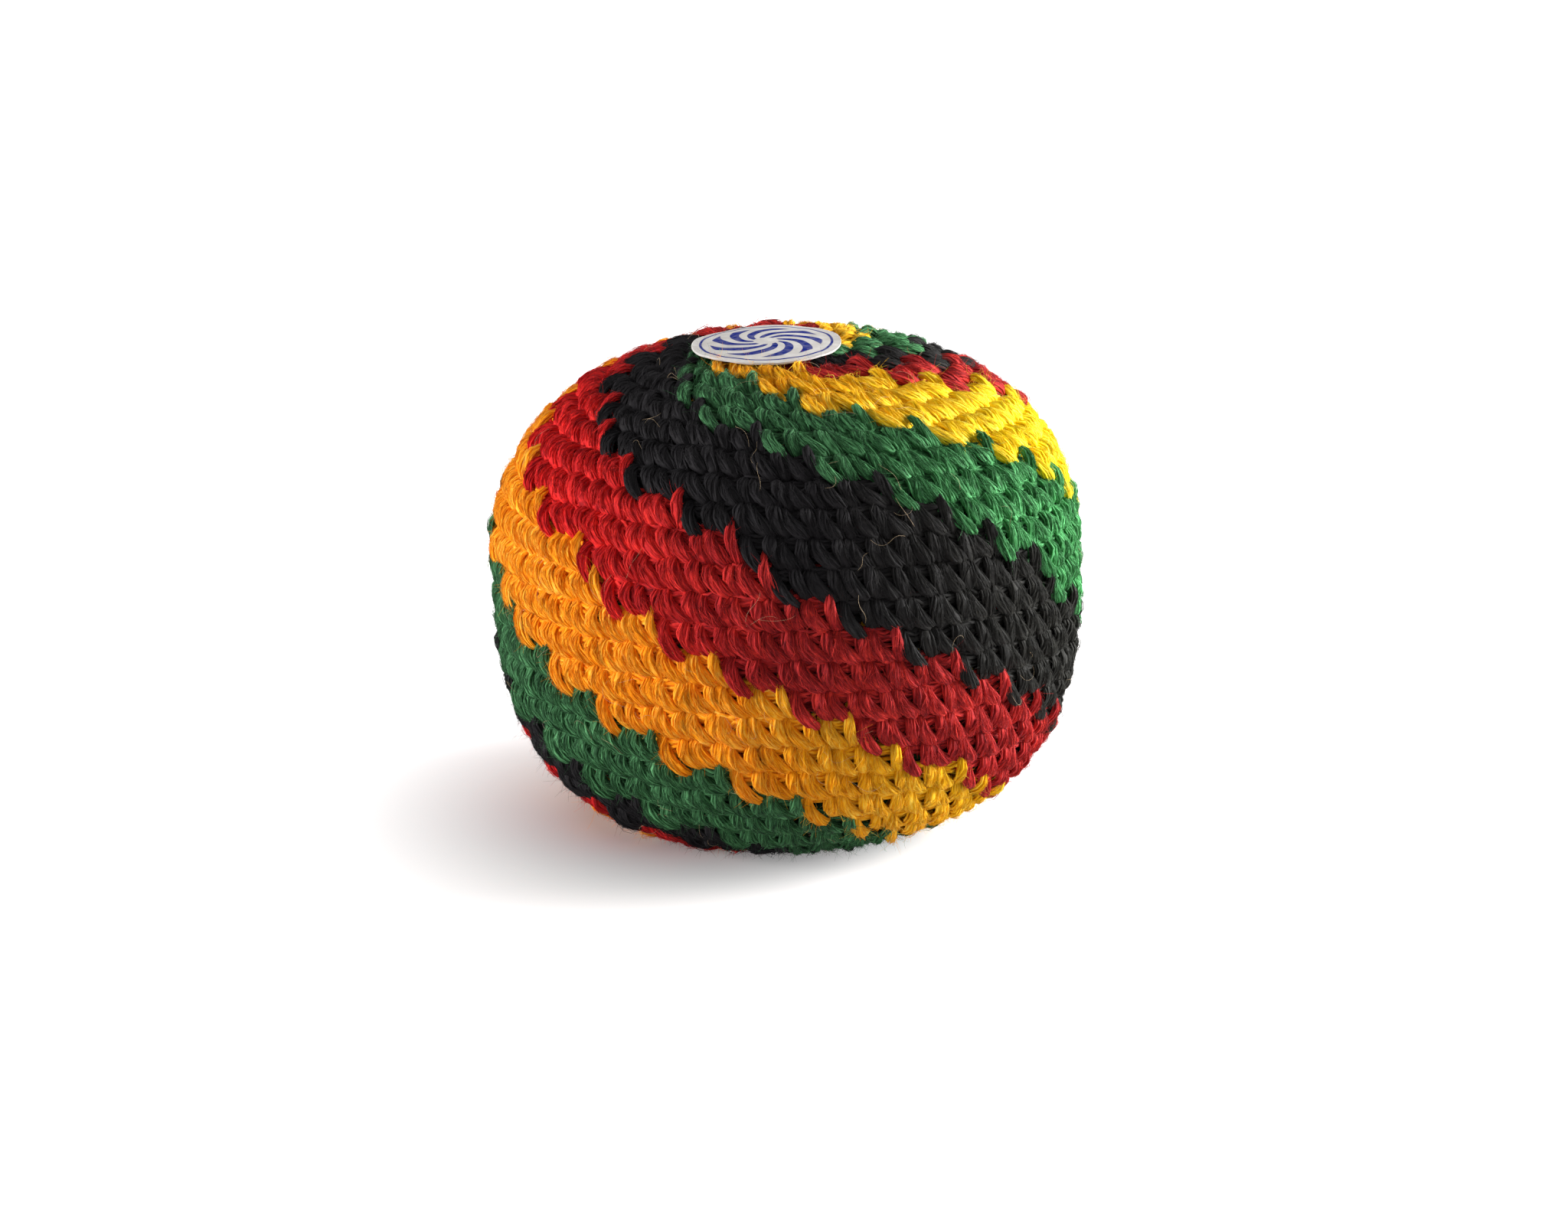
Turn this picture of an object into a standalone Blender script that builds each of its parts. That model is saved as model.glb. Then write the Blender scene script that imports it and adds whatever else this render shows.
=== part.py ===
"""A crocheted footbag: eight spiral stripes of yarn, their carried strands, a pellet fill and a label.

Metres, +Z up. The ball stands on z = 0, centred on the origin, and -Y is its front.
Angles round the ball are 0 at the front and grow to the right, as seen from the front.
Distances up the ball are measured along its surface from the bottom pole of the crochet.
"""

import math

import bmesh
import bpy
import numpy as np
from mathutils import Matrix, Vector

MM = 0.001
FULL_TURN = 2 * math.pi
UPRIGHT = math.pi / 2

# The ball's own shape: two halves of unlike height that meet at the widest round
BALL_RADIUS = 29.45 * MM
CROWN_HEIGHT = 21.35 * MM
BELLY_DEPTH = 28.2 * MM
CROWN_SQUARENESS = 2.33
BELLY_SQUARENESS = 2.92
BALL_LEAN = math.radians(-2.5)
SETTLED_DEPTH = 0.9 * MM

# The crochet: one spiral of single stitches, whose axis leans a little against the ball's
ROUND_PITCH = 3.05 * MM
STITCH_WIDTH = 3.42 * MM
STITCH_LEAN_SIDEWAYS = math.radians(1.1)
STITCH_LEAN_BACK = math.radians(-3)
START_ANGLE = math.radians(-144)
STARTING_ROUNDS = 2
CLOSING_ROUNDS = 3
SHIFT_STITCHES = 1.7
FIRST_EDGE_ANGLE = math.radians(-74)
COLUMNS = 36

# The stripes, left to right, with how many stitches wide each one is at the widest round
STRIPES = (
    ("gold_stripe_1", "gold", 7.5),
    ("red_stripe_1", "red", 6.5),
    ("black_stripe_1", "black", 8),
    ("green_stripe_1", "green", 7),
    ("gold_stripe_2", "gold", 8),
    ("red_stripe_2", "red", 5),
    ("black_stripe_2", "black", 5),
    ("green_stripe_2", "green", 7),
)

# The layers, from the outside in
YARN_LAYER = 2.1 * MM
GROOVE_DEPTH = 0.6 * MM
STRIPE_GAP = 0.3 * MM
LAYER_GAP = 0.4 * MM
CARRIED_LAYER = 0.7 * MM
FILL_GAP = 0.3 * MM
POLE_OPENING_RADIUS = 4.5 * MM
INNER_COLUMNS = COLUMNS // 2
INNER_RINGS = 12

# The label
LABEL_DIAMETER = 15 * MM
LABEL_THICKNESS = 0.2 * MM
LABEL_GAP = 0.3 * MM
LABEL_OFFSET = -1.05 * MM
LABEL_RINGS = 3
LABEL_COLUMNS = 32

SMOOTH_ANGLE = math.radians(40)
MERIDIAN_SAMPLES = 1441
HALVINGS = 40

COLOURS = {
    "gold": (0.80, 0.34, 0.02),
    "red": (0.55, 0.02, 0.01),
    "black": (0.012, 0.010, 0.010),
    "green": (0.02, 0.18, 0.07),
    "carried": (0.10, 0.07, 0.04),
    "paper": (0.72, 0.71, 0.68),
    "pellets": (0.62, 0.62, 0.60),
}

LEAN = Matrix.Rotation(BALL_LEAN, 3, "Y")
CROCHET_TURN = (
    Matrix.Rotation(STITCH_LEAN_SIDEWAYS, 3, "Y") @ Matrix.Rotation(STITCH_LEAN_BACK, 3, "X")
)


def lowest_reach():
    """How far the leaning ball would reach below its widest round, before it settles."""
    power = BELLY_SQUARENESS / (BELLY_SQUARENESS - 1)
    across = BALL_RADIUS * abs(math.sin(BALL_LEAN))
    down = BELLY_DEPTH * math.cos(BALL_LEAN)
    return (across ** power + down ** power) ** (1 / power)


WIDEST_CENTRE = Vector((0, 0, lowest_reach() - SETTLED_DEPTH))
HEART_DROP = (BELLY_DEPTH - CROWN_HEIGHT) / 2


def half(height):
    """The height and squareness of the half of the ball that a height lies in."""
    if height > 0:
        return CROWN_HEIGHT, CROWN_SQUARENESS
    return BELLY_DEPTH, BELLY_SQUARENESS


def fullness(across, height):
    """Under 1 inside the ball, 1 on its surface and over 1 outside it."""
    reach, power = half(height)
    return (across / BALL_RADIUS) ** power + (abs(height) / reach) ** power


def reach_along(ray):
    """The distance from the heart to the surface along a unit ray in the ball's own frame."""
    near = 0.0
    far = 2 * (BALL_RADIUS + BELLY_DEPTH)
    for _ in range(HALVINGS):
        middle = (near + far) / 2
        across = middle * math.hypot(ray[0], ray[1])
        if fullness(across, middle * ray[2] - HEART_DROP) > 1:
            far = middle
        else:
            near = middle
    return near


def outward(place):
    """The unit normal of the ball's surface at a place in the ball's own frame."""
    across = math.hypot(place.x, place.y)
    reach, power = half(place.z)
    slope = power * (across / BALL_RADIUS) ** (power - 1) / BALL_RADIUS
    rise = power * (abs(place.z) / reach) ** (power - 1) / reach
    side = slope / across if across > 0 else 0
    return Vector((side * place.x, side * place.y, math.copysign(rise, place.z))).normalized()


def ball_point(angle, elevation, depth):
    """The point under the surface, by a depth, where a ray from the heart comes out."""
    level = math.cos(elevation)
    ray = Vector((level * math.sin(angle), -level * math.cos(angle), math.sin(elevation)))
    ray = LEAN.transposed() @ (CROCHET_TURN @ ray)
    place = ray * reach_along(ray) - Vector((0, 0, HEART_DROP))
    point = LEAN @ (place - outward(place) * depth) + WIDEST_CENTRE
    point.z = max(point.z, depth)
    return point


def meridian():
    """Elevations from pole to pole, with their distances up the ball and their radii."""
    elevations = np.linspace(-UPRIGHT, UPRIGHT, MERIDIAN_SAMPLES)
    reaches = np.array([reach_along((math.cos(e), 0, math.sin(e))) for e in elevations])
    radii = reaches * np.cos(elevations)
    heights = reaches * np.sin(elevations)
    steps = np.hypot(np.diff(radii), np.diff(heights))
    return elevations, np.concatenate(([0.0], np.cumsum(steps))), radii


ELEVATIONS, DISTANCES, RADII = meridian()
ROUNDS_IN_ALL = float(DISTANCES[-1]) / ROUND_PITCH


def elevation_at(distance):
    return float(np.interp(distance, DISTANCES, ELEVATIONS))


def radius_at(distance):
    return float(np.interp(distance, DISTANCES, RADII))


def colour_shifts():
    """How far the colours have moved round, at each distance up the ball, from its middle."""
    narrowest = min(width for _, _, width in STRIPES) / sum(width for _, _, width in STRIPES)
    column = FULL_TURN / COLUMNS
    most = narrowest * FULL_TURN - column
    shift = SHIFT_STITCHES * STITCH_WIDTH / np.maximum(RADII, STITCH_WIDTH)
    rates = np.minimum(shift, most) / ROUND_PITCH
    steps = (rates[1:] + rates[:-1]) / 2 * np.diff(DISTANCES)
    shifts = np.concatenate(([0.0], np.cumsum(steps)))
    return shifts - np.interp(0.0, ELEVATIONS, shifts)


SHIFTS = colour_shifts()


def lattice(index, rise=0.0):
    """The angle and distance of a corner of the spiral, or of a place part of a round above it."""
    turns = index / COLUMNS
    return START_ANGLE - turns * FULL_TURN, (STARTING_ROUNDS + turns + rise) * ROUND_PITCH


def fabric_point(angle, distance, depth, left=0.0, up=0.0):
    """A point of the crocheted fabric, moved along it by lengths to the left and up."""
    angle -= left / radius_at(distance)
    return ball_point(angle, elevation_at(distance + up), depth)


def stripe_of(cell):
    """Which stripe a cell of the spiral belongs to."""
    angle, distance = lattice(cell + 0.5)
    place = angle + float(np.interp(distance, DISTANCES, SHIFTS)) - FIRST_EDGE_ANGLE
    stitches = sum(width for _, _, width in STRIPES)
    along = (place / FULL_TURN) % 1 * stitches
    for number, (_, _, width) in enumerate(STRIPES):
        if along < width:
            return number
        along -= width
    return 0


def cells_in_all():
    """How many cells the spiral has between the starting and the closing rounds."""
    return int(COLUMNS * (ROUNDS_IN_ALL - STARTING_ROUNDS - CLOSING_ROUNDS))


def sign(value):
    return (value > 0) - (value < 0)


def stripe_mesh(cells):
    """The ribbed solid of one stripe, drawn in by half the gap along its stepped edges."""
    bm = bmesh.new()
    made = {}

    def corner(index, depth):
        if (index, depth) not in made:
            ahead, behind = index in cells, index - 1 in cells
            below_ahead, below_behind = index - COLUMNS in cells, index - COLUMNS - 1 in cells
            left = sign(ahead + below_ahead - behind - below_behind) * STRIPE_GAP / 2
            up = sign(ahead + behind - below_ahead - below_behind) * STRIPE_GAP / 2
            angle, distance = lattice(index)
            point = fabric_point(angle, distance, depth, left, up)
            made[index, depth] = bm.verts.new(point)
        return made[index, depth]

    def ridge(index):
        if index not in made:
            left = sign((index in cells) - (index - 1 in cells)) * STRIPE_GAP / 2
            angle, distance = lattice(index, rise=0.5)
            made[index] = bm.verts.new(fabric_point(angle, distance, 0.0, left))
        return made[index]

    for cell in sorted(cells):
        corners = (cell, cell + COLUMNS, cell + COLUMNS + 1, cell + 1)
        right_low, right_high, left_high, left_low = (corner(i, GROOVE_DEPTH) for i in corners)
        inner = [corner(i, YARN_LAYER) for i in corners]
        in_right_low, in_right_high, in_left_high, in_left_low = inner
        right_mid, left_mid = ridge(cell), ridge(cell + 1)
        bm.faces.new((right_low, right_mid, left_mid, left_low))
        bm.faces.new((right_mid, right_high, left_high, left_mid))
        bm.faces.new(inner[::-1])
        if cell - 1 not in cells:
            bm.faces.new((right_low, in_right_low, right_mid))
            bm.faces.new((in_right_low, in_right_high, right_mid))
            bm.faces.new((in_right_high, right_high, right_mid))
        if cell + 1 not in cells:
            bm.faces.new((left_low, left_mid, in_left_low))
            bm.faces.new((left_mid, in_left_high, in_left_low))
            bm.faces.new((left_mid, left_high, in_left_high))
        if cell - COLUMNS not in cells:
            bm.faces.new((right_low, left_low, in_left_low, in_right_low))
        if cell + COLUMNS not in cells:
            bm.faces.new((left_high, right_high, in_right_high, in_left_high))
    return bm


def pole_mesh(outline, elevation):
    """A disc of fabric round a pole, within an outline of angles and distances."""
    bm = bmesh.new()
    layers = []
    for depth in (0.0, YARN_LAYER):
        rim = [bm.verts.new(fabric_point(angle, distance, depth)) for angle, distance in outline]
        layers.append((rim, bm.verts.new(ball_point(0.0, elevation, depth))))
    (outer, outer_pole), (inner, inner_pole) = layers
    for i in range(len(outline)):
        bm.faces.new((outer[i - 1], outer[i], outer_pole))
        bm.faces.new((inner[i], inner[i - 1], inner_pole))
        bm.faces.new((outer[i], outer[i - 1], inner[i - 1], inner[i]))
    return bm


def starting_outline():
    """The snail-shaped edge of the first rounds, inside the spiral's lowest turn."""
    edge = []
    for index in range(1, COLUMNS):
        angle, distance = lattice(index)
        edge.append((angle, distance - STRIPE_GAP / 2))
    for index in (COLUMNS, 0):
        angle, distance = lattice(index)
        distance -= STRIPE_GAP / 2
        edge.append((angle + STRIPE_GAP / 2 / radius_at(distance), distance))
    return edge


def closing_outline():
    """The snail-shaped edge of the last rounds, inside the spiral's highest turn."""
    edge = []
    last = cells_in_all()
    for index in range(last + 1, last + COLUMNS):
        angle, distance = lattice(index)
        edge.append((angle, distance + STRIPE_GAP / 2))
    for index in (last + COLUMNS, last):
        angle, distance = lattice(index)
        distance += STRIPE_GAP / 2
        edge.append((angle - STRIPE_GAP / 2 / radius_at(distance), distance))
    return edge


def inner_rings():
    """The elevations of the rings that the inner layers share, between the two pole openings."""
    widest = int(np.argmax(RADII)) + 1
    low = float(np.interp(POLE_OPENING_RADIUS, RADII[:widest], ELEVATIONS[:widest]))
    return [low - 2 * low * i / INNER_RINGS for i in range(INNER_RINGS + 1)]


def inner_ring(bm, elevation, depth):
    angles = [FULL_TURN * i / INNER_COLUMNS for i in range(INNER_COLUMNS)]
    return [bm.verts.new(ball_point(angle, elevation, depth)) for angle in angles]


def join_rings(bm, low, high):
    for i in range(len(low)):
        bm.faces.new((low[i - 1], low[i], high[i], high[i - 1]))


def carried_mesh():
    """The layer of strands not in use, a shell that stays open at both poles."""
    bm = bmesh.new()
    outside = YARN_LAYER + LAYER_GAP
    inside = outside + CARRIED_LAYER
    outer = [inner_ring(bm, elevation, outside) for elevation in inner_rings()]
    inner = [inner_ring(bm, elevation, inside) for elevation in inner_rings()]
    loop = outer + inner[::-1]
    for i in range(len(loop)):
        join_rings(bm, loop[i - 1], loop[i])
    return bm


def fill_mesh():
    """The packed pellets, one solid that fills the ball inside the carried strands."""
    bm = bmesh.new()
    depth = YARN_LAYER + LAYER_GAP + CARRIED_LAYER + FILL_GAP
    rings = [inner_ring(bm, elevation, depth) for elevation in inner_rings()]
    for low, high in zip(rings, rings[1:]):
        join_rings(bm, low, high)
    for ring, elevation in ((rings[0], -UPRIGHT), (rings[-1], UPRIGHT)):
        pole = bm.verts.new(ball_point(0.0, elevation, depth))
        for i in range(len(ring)):
            bm.faces.new((ring[i - 1], ring[i], pole))
    return bm


def label_mesh():
    """The round paper label, bent over the top of the ball."""
    bm = bmesh.new()

    def on_crown(x, y, lift):
        height = CROWN_HEIGHT * (1 - (math.hypot(x, y) / BALL_RADIUS) ** CROWN_SQUARENESS) ** (
            1 / CROWN_SQUARENESS
        )
        return bm.verts.new(LEAN @ Vector((x, y, height + lift)) + WIDEST_CENTRE)

    sheets = []
    for lift in (LABEL_GAP, LABEL_GAP + LABEL_THICKNESS):
        rings = []
        for ring in range(1, LABEL_RINGS + 1):
            radius = LABEL_DIAMETER / 2 * ring / LABEL_RINGS
            angles = [FULL_TURN * i / LABEL_COLUMNS for i in range(LABEL_COLUMNS)]
            rings.append(
                [
                    on_crown(LABEL_OFFSET + radius * math.cos(a), radius * math.sin(a), lift)
                    for a in angles
                ]
            )
        centre = on_crown(LABEL_OFFSET, 0, lift)
        for i in range(LABEL_COLUMNS):
            bm.faces.new((rings[0][i - 1], rings[0][i], centre))
        for low, high in zip(rings, rings[1:]):
            join_rings(bm, low, high)
        sheets.append(rings[-1])
    join_rings(bm, sheets[0], sheets[1])
    return bm


def make_material(name, roughness):
    material = bpy.data.materials.new(name)
    material.use_nodes = True
    shader = material.node_tree.nodes["Principled BSDF"]
    shader.inputs["Base Color"].default_value = (*COLOURS[name], 1)
    shader.inputs["Roughness"].default_value = roughness
    shader.inputs["Metallic"].default_value = 0
    material.diffuse_color = (*COLOURS[name], 1)
    return material


def add_object(name, bm, material, parent):
    """Close the mesh, face it outwards, shade it smooth and place it under the ball's empty."""
    bmesh.ops.recalc_face_normals(bm, faces=bm.faces)
    mesh = bpy.data.meshes.new(name)
    bm.to_mesh(mesh)
    bm.free()
    mesh.shade_smooth()
    mesh.set_sharp_from_angle(angle=SMOOTH_ANGLE)
    mesh.materials.append(material)
    piece = bpy.data.objects.new(name, mesh)
    piece.parent = parent
    bpy.context.collection.objects.link(piece)
    return piece


def main():
    for old in list(bpy.data.objects):
        bpy.data.objects.remove(old)

    ball = bpy.data.objects.new("ball", None)
    bpy.context.collection.objects.link(ball)
    yarns = {colour: make_material(colour, 0.9) for colour in ("gold", "red", "black", "green")}
    carried = make_material("carried", 0.95)

    stripes = [set() for _ in STRIPES]
    for cell in range(cells_in_all()):
        stripes[stripe_of(cell)].add(cell)
    for (name, colour, _), cells in zip(STRIPES, stripes):
        add_object(name, stripe_mesh(cells), yarns[colour], ball)

    add_object("starting_rounds", pole_mesh(starting_outline(), -UPRIGHT), yarns["green"], ball)
    add_object("closing_rounds", pole_mesh(closing_outline(), UPRIGHT), yarns["green"], ball)
    add_object("carried_strands", carried_mesh(), carried, ball)
    add_object("pellet_fill", fill_mesh(), make_material("pellets", 0.4), ball)
    add_object("label", label_mesh(), make_material("paper", 0.6), ball)


main()
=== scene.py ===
"""The looks of a crocheted footbag: every stitch as a bundle of yarn, the fuzz, the label and the fill.

Metres, +Z up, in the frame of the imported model. -Y is the front.
Angles round the ball are 0 at the front and grow to the right, as seen from the front.
Distances up the ball are measured along its surface from the bottom pole of the crochet.
"""

import math

import bmesh
import bpy
import numpy as np
from mathutils import Matrix, Vector


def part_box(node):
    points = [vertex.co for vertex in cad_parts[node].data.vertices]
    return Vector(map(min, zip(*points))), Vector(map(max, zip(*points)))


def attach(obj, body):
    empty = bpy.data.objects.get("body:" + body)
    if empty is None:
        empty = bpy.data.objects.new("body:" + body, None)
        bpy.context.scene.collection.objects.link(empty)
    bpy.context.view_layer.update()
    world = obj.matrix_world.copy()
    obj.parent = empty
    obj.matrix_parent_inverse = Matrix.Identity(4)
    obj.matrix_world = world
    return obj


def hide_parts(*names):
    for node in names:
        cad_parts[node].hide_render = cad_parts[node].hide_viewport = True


MM = 0.001
FULL_TURN = 2 * math.pi
UPRIGHT = math.pi / 2

# The ball's own shape: two halves of unlike height that meet at the widest round
BALL_RADIUS = 29.45 * MM
CROWN_HEIGHT = 21.35 * MM
BELLY_DEPTH = 28.2 * MM
CROWN_SQUARENESS = 2.33
BELLY_SQUARENESS = 2.92
BALL_LEAN = math.radians(-2.5)
SETTLED_DEPTH = 0.9 * MM
SQUASHED_BELOW = 0.8 * MM

# The crochet: one spiral of single stitches, whose axis leans a little against the ball's
ROUND_PITCH = 3.05 * MM
STITCH_WIDTH = 3.42 * MM
STITCH_LEAN_SIDEWAYS = math.radians(1.1)
STITCH_LEAN_BACK = math.radians(-3)
START_ANGLE = math.radians(-144)
STARTING_ROUNDS = 2
CLOSING_ROUNDS = 3
SHIFT_STITCHES = 1.7
FIRST_EDGE_ANGLE = math.radians(-74)
COLUMNS = 36
FIRST_TURN = 0.3
LAST_TURN_LEFT = 0.3
ROUND_STEP = 3
ROUND_DRIFT = 0.1

# The stripes, left to right, with how many stitches wide each one is at the widest round
STRIPES = (
    ("gold_stripe_1", "gold", 7.5),
    ("red_stripe_1", "red", 6.5),
    ("black_stripe_1", "black", 8),
    ("green_stripe_1", "green", 7),
    ("gold_stripe_2", "gold", 8),
    ("red_stripe_2", "red", 5),
    ("black_stripe_2", "black", 5),
    ("green_stripe_2", "green", 7),
)
STITCHES_ROUND = sum(width for _, _, width in STRIPES)
YARNS = ("gold", "red", "black", "green")

# One stitch, in shares of its width to the right and of the round's pitch up, with heights in millimetres
LEFT_LEG_OUTER_SHARES = (
    (-0.38, 1.22), (-0.48, 0.98), (-0.50, 0.76), (-0.43, 0.53),
    (-0.30, 0.32), (-0.11, 0.12), (0.12, -0.04), (0.36, -0.09),
)
LEFT_LEG_INNER_SHARES = (
    (-0.12, 1.22), (-0.16, 0.99), (-0.13, 0.82), (-0.03, 0.64),
    (0.14, 0.46), (0.33, 0.28), (0.50, 0.12), (0.58, -0.02),
)
LEFT_LEG_HEIGHTS = (-1.15, -0.46, 0.02, 0.22, 0.30, 0.22, -0.08, -0.95)
RIGHT_LEG_OUTER_SHARES = (
    (0.95, 0.05), (0.81, 0.22), (0.64, 0.44), (0.56, 0.68), (0.50, 0.92), (0.43, 1.18),
)
RIGHT_LEG_INNER_SHARES = (
    (0.58, -0.07), (0.42, 0.15), (0.27, 0.41), (0.20, 0.66), (0.22, 0.92), (0.28, 1.18),
)
RIGHT_LEG_HEIGHTS = (-0.50, -0.06, 0.22, 0.40, -0.02, -1.05)
LOOP_OUTER_SHARES = ((-0.58, 1.20), (-0.25, 1.14), (0.0, 1.12), (0.25, 1.14), (0.58, 1.20))
LOOP_INNER_SHARES = ((-0.58, 0.54), (-0.25, 0.50), (0.0, 0.48), (0.25, 0.50), (0.58, 0.54))
LOOP_HEIGHTS = (-0.66, -0.62, -0.60, -0.62, -0.66)
BACK_BAR_SHARES = (0.02, 0.30, 0.58)
CARRIED_SHARES = (0.74, 0.90, 1.04)

# Where a stripe ends, its first stitch drops into the round below and its last one rises into the next
DROP_STRETCH_SHARE = 1.24
RISE_STRETCH_SHARE = 1.26
EDGE_LIFT = 1.3 * MM
EDGE_NARROWING_SHARE = 1.8

LEFT_STRANDS = 14
RIGHT_STRANDS = 7
LOOP_STRANDS = 5
LEFT_SAMPLES = 9
RIGHT_SAMPLES = 7
LOOP_SAMPLES = 6
BAR_SAMPLES = 4
STRAND_RADIUS = 0.146 * MM
STRAND_SIDES = 4
LEG_TWIST = 2.0
LEFT_DOME = 0.46 * MM
RIGHT_DOME = 0.30 * MM
LOOP_DOME = 0.10 * MM
LOOP_FULLNESS = 1.4
CORE_DROP = 0.30 * MM
CORE_THICKNESS = 0.30 * MM
BACK_BAR_DEPTH = 1.75 * MM
BACK_BAR_RADIUS = 0.46 * MM
CARRIED_DEPTH = 1.55 * MM
CARRIED_RADIUS = 0.38 * MM
OPEN_HOLLOWS_SHARE = 0.16
OPEN_GATHER_SHARE = 0.45
CORE_SHARE = 0.42
BAR_REACH_SHARE = 0.57
LEAST_ROUND_SHARE = 0.3

# How a stitch strays from the regular one, in shares of a stitch and in lift
WIDTH_ERROR_SHARE = 0.05
SIDEWAYS_ERROR_SHARE = 0.04
PITCH_ERROR_SHARE = 0.035
UPWARD_ERROR_SHARE = 0.035
LEAN_ERROR_SHARE = 0.06
LIFT_ERROR = 0.09 * MM

# How strands and bars wander on their way, sideways and in lift
LEG_WANDER = 0.28
LEG_LIFT_WANDER = 0.06 * MM
LOOP_WANDER = 0.75
LOOP_LIFT_WANDER = 0.07 * MM
BAR_WANDER_SHARE = 0.03
BAR_LIFT_WANDER = 0.1 * MM

# The label, in the ball's own frame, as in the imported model
LABEL_DIAMETER = 15 * MM
LABEL_THICKNESS = 0.2 * MM
LABEL_GAP = 0.3 * MM
LABEL_OFFSET = -1.05 * MM
LABEL_BLADES = 9
LABEL_TWIST = 2.2
LABEL_HUB_SHARES = (0.16, 0.74)
LABEL_RING_SHARE = 0.88
LABEL_PRESS = 0.62 * MM
LABEL_TILT = 0.2 * MM
PRESSED_ROUNDS = (2.7, 3.6)

# The fill: how far its skin lies under the ball's surface, and its pellets
FILL_DEPTH = 3.5 * MM
PELLET_RADIUS = 1.65 * MM
PELLET_SPACING = 3.55 * MM

# Each yarn's shadowed, middle and bright fibres, and its share of sheen
COLOURS = {
    "gold": (((0.65, 0.145, 0.001), (0.97, 0.345, 0.005), (1.0, 0.59, 0.08)), 0.03),
    "red": (((0.15, 0.003, 0.006), (0.61, 0.013, 0.016), (1.0, 0.036, 0.026)), 0.02),
    "black": (((0.0118, 0.0108, 0.0120), (0.0140, 0.0128, 0.0142), (0.018, 0.0165, 0.0175)), 0.0),
    "green": (((0.008, 0.030, 0.014), (0.034, 0.115, 0.043), (0.13, 0.38, 0.16)), 0.04),
}
# Painted light and shade, as the light falls on the ball rather than as the yarn is dyed: the gold grows
# yellower to the right and upwards, the red duller to the right, the others brighter: the colours at the far
# end, the way there, and the distances in ball radii where it starts and ends
PAINTED_LIGHT_DRIFTS = {
    "gold": (
        ((0.66, 0.38, 0.001), (0.89, 0.71, 0.006), (0.97, 0.88, 0.12)),
        (0.97, 0.0, 0.24),
        (-0.25, 0.95),
    ),
    "red": (
        ((0.11, 0.007, 0.010), (0.40, 0.020, 0.022), (0.82, 0.056, 0.040)),
        (1.0, 0.0, 0.0),
        (-0.75, 0.0),
    ),
    "black": (
        ((0.014, 0.014, 0.012), (0.023, 0.023, 0.020), (0.045, 0.044, 0.036)),
        (1.0, 0.0, 0.0),
        (0.1, 1.0),
    ),
    "green": (
        ((0.010, 0.050, 0.016), (0.040, 0.210, 0.056), (0.16, 0.60, 0.22)),
        (1.0, 0.0, 0.0),
        (0.1, 1.0),
    ),
}

# Loose fibres: how many for each stitch, their radii, and how far their tone strays from the yarn's
LAID_EACH = (36, 15)
LAID_SAMPLES = 5
LAID_RADII = (0.013 * MM, 0.032 * MM)
FIBRE_DYES = (-1.2, 2.3)
FUZZ_EACH = 60
FUZZ_SAMPLES = 4
FUZZ_RADIUS = 0.016 * MM
STRAY_HAIRS = 200
STRAY_RADIUS = 0.009 * MM

# The studio: the world's light, and the floor's seen glow, dimmest round a centre near the ball and white
# away from it: a painted shadow over the ball's real one
WORLD_LIGHT = 0.32
PAINTED_SHADOW_CENTRE = (-10 * MM, -3 * MM, 0)
FLOOR_GLOW = (0.06, 1.0)
FLOOR_GLOW_REACH = (10 * MM, 43 * MM)
FLOOR_REACH = 4.0
# Each lamp's azimuth and elevation in degrees, its distance and size in metres, and its power in watts
LAMPS = (
    ("left_lamp", -75, 8, 0.55, 0.26, 4.0),
    ("right_lamp", 100, 15, 0.55, 0.30, 9.5),
)
CAMERA_DISTANCE = 0.45
CAMERA_ELEVATION = math.radians(17)
CAMERA_LENS = 101.8
CAMERA_SENSOR = 36
CAMERA_SHIFT = (-0.0013, -0.0343)
CAMERA_CLIP = (0.01, 20)


def turned(angle, axis):
    return np.array(Matrix.Rotation(angle, 3, axis))


LEAN = turned(BALL_LEAN, "Y")
CROCHET_TURN = turned(STITCH_LEAN_SIDEWAYS, "Y") @ turned(STITCH_LEAN_BACK, "X")


def lowest_reach():
    """How far the leaning ball would reach below its widest round, before it settles."""
    power = BELLY_SQUARENESS / (BELLY_SQUARENESS - 1)
    across = BALL_RADIUS * abs(math.sin(BALL_LEAN))
    down = BELLY_DEPTH * math.cos(BALL_LEAN)
    return (across ** power + down ** power) ** (1 / power)


WIDEST_CENTRE = np.array((0, 0, lowest_reach() - SETTLED_DEPTH))
HEART_DROP = (BELLY_DEPTH - CROWN_HEIGHT) / 2


def half(heights):
    """The height and squareness of the half of the ball that each height lies in."""
    crown = heights > 0
    return (
        np.where(crown, CROWN_HEIGHT, BELLY_DEPTH),
        np.where(crown, CROWN_SQUARENESS, BELLY_SQUARENESS),
    )


def reach_along(rays):
    """The distances from the heart to the surface along unit rays in the ball's own frame."""
    level = np.hypot(rays[..., 0], rays[..., 1])
    near = np.zeros(level.shape)
    far = np.full(level.shape, 2 * (BALL_RADIUS + BELLY_DEPTH))
    for _ in range(36):
        middle = (near + far) / 2
        heights = middle * rays[..., 2] - HEART_DROP
        reach, power = half(heights)
        outside = (middle * level / BALL_RADIUS) ** power + (np.abs(heights) / reach) ** power > 1
        far = np.where(outside, middle, far)
        near = np.where(outside, near, middle)
    return near


def outward(places):
    """The unit normals of the ball's surface at places in the ball's own frame."""
    across = np.hypot(places[..., 0], places[..., 1])
    reach, power = half(places[..., 2])
    slope = power * (across / BALL_RADIUS) ** (power - 1) / BALL_RADIUS
    rise = power * (np.abs(places[..., 2]) / reach) ** (power - 1) / reach
    side = slope / np.maximum(across, 1e-9)
    normals = np.stack(
        (side * places[..., 0], side * places[..., 1], np.copysign(rise, places[..., 2])), -1
    )
    return normals / np.linalg.norm(normals, axis=-1, keepdims=True)


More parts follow.
